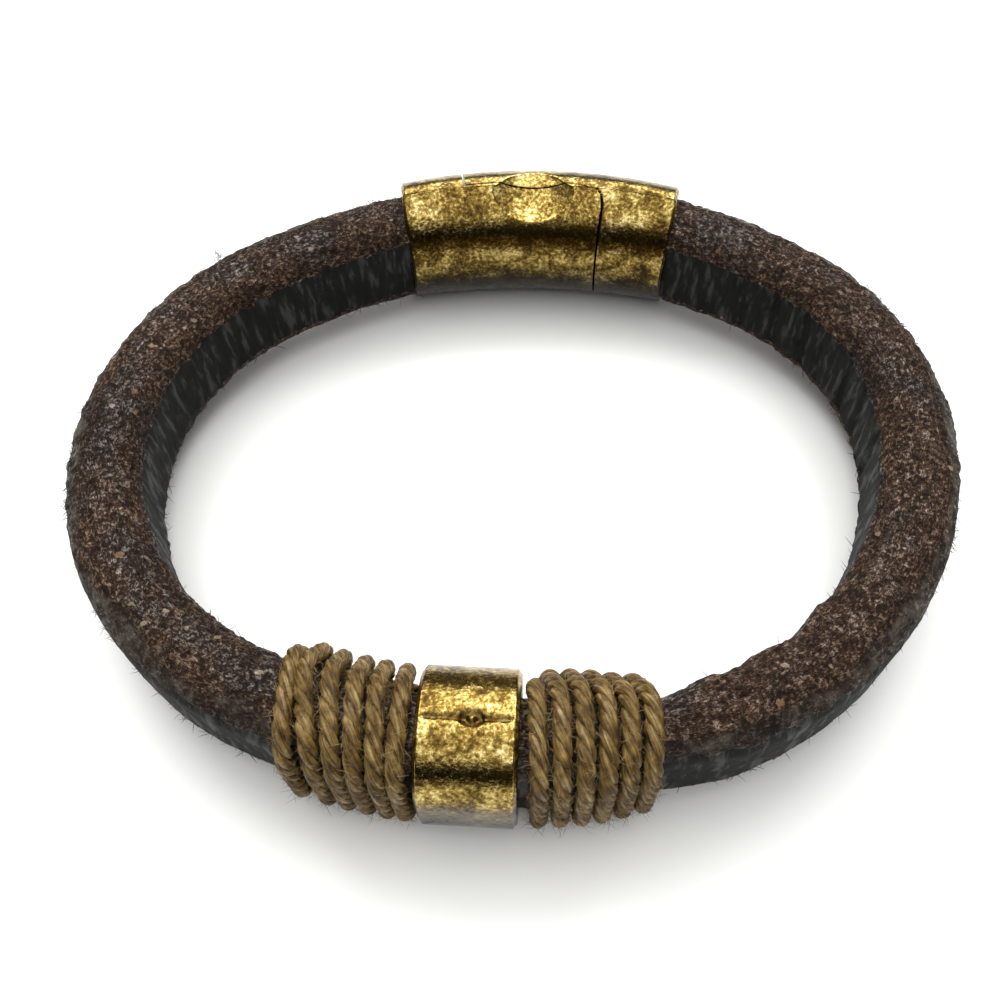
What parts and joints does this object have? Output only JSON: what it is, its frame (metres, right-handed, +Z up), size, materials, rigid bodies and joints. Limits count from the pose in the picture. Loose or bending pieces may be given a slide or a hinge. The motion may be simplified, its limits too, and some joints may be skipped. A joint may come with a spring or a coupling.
{
  "type": "cord-wrapped leather bracelet",
  "caption": "Closed oval bracelet of thick leather strap with a metal bead between cord wraps at the front and a magnetic clasp at the back.",
  "frame": {"origin": "middle of the bracelet's box at its underside, on the surface it lies on", "axes": "+X along the oval's long way, +Y from the bead towards the clasp, +Z up"},
  "size_m": [0.0754, 0.064, 0.0135],
  "materials": {
    "leather": "waxed, with raw brown cut edges",
    "brass": "antiqued, mottled dark",
    "magnet": "nickel plated",
    "cord": "waxed linen"
  },
  "bodies": {
    "root": {"leather_band": "leather", "slider_bead": "brass", "clasp_body": "brass", "clasp_hook": "brass", "clasp_magnet_body": "magnet", "clasp_magnet_hook": "magnet", "cord_wrap_left": "cord", "cord_wrap_right": "cord"}
  },
  "joints": []
}
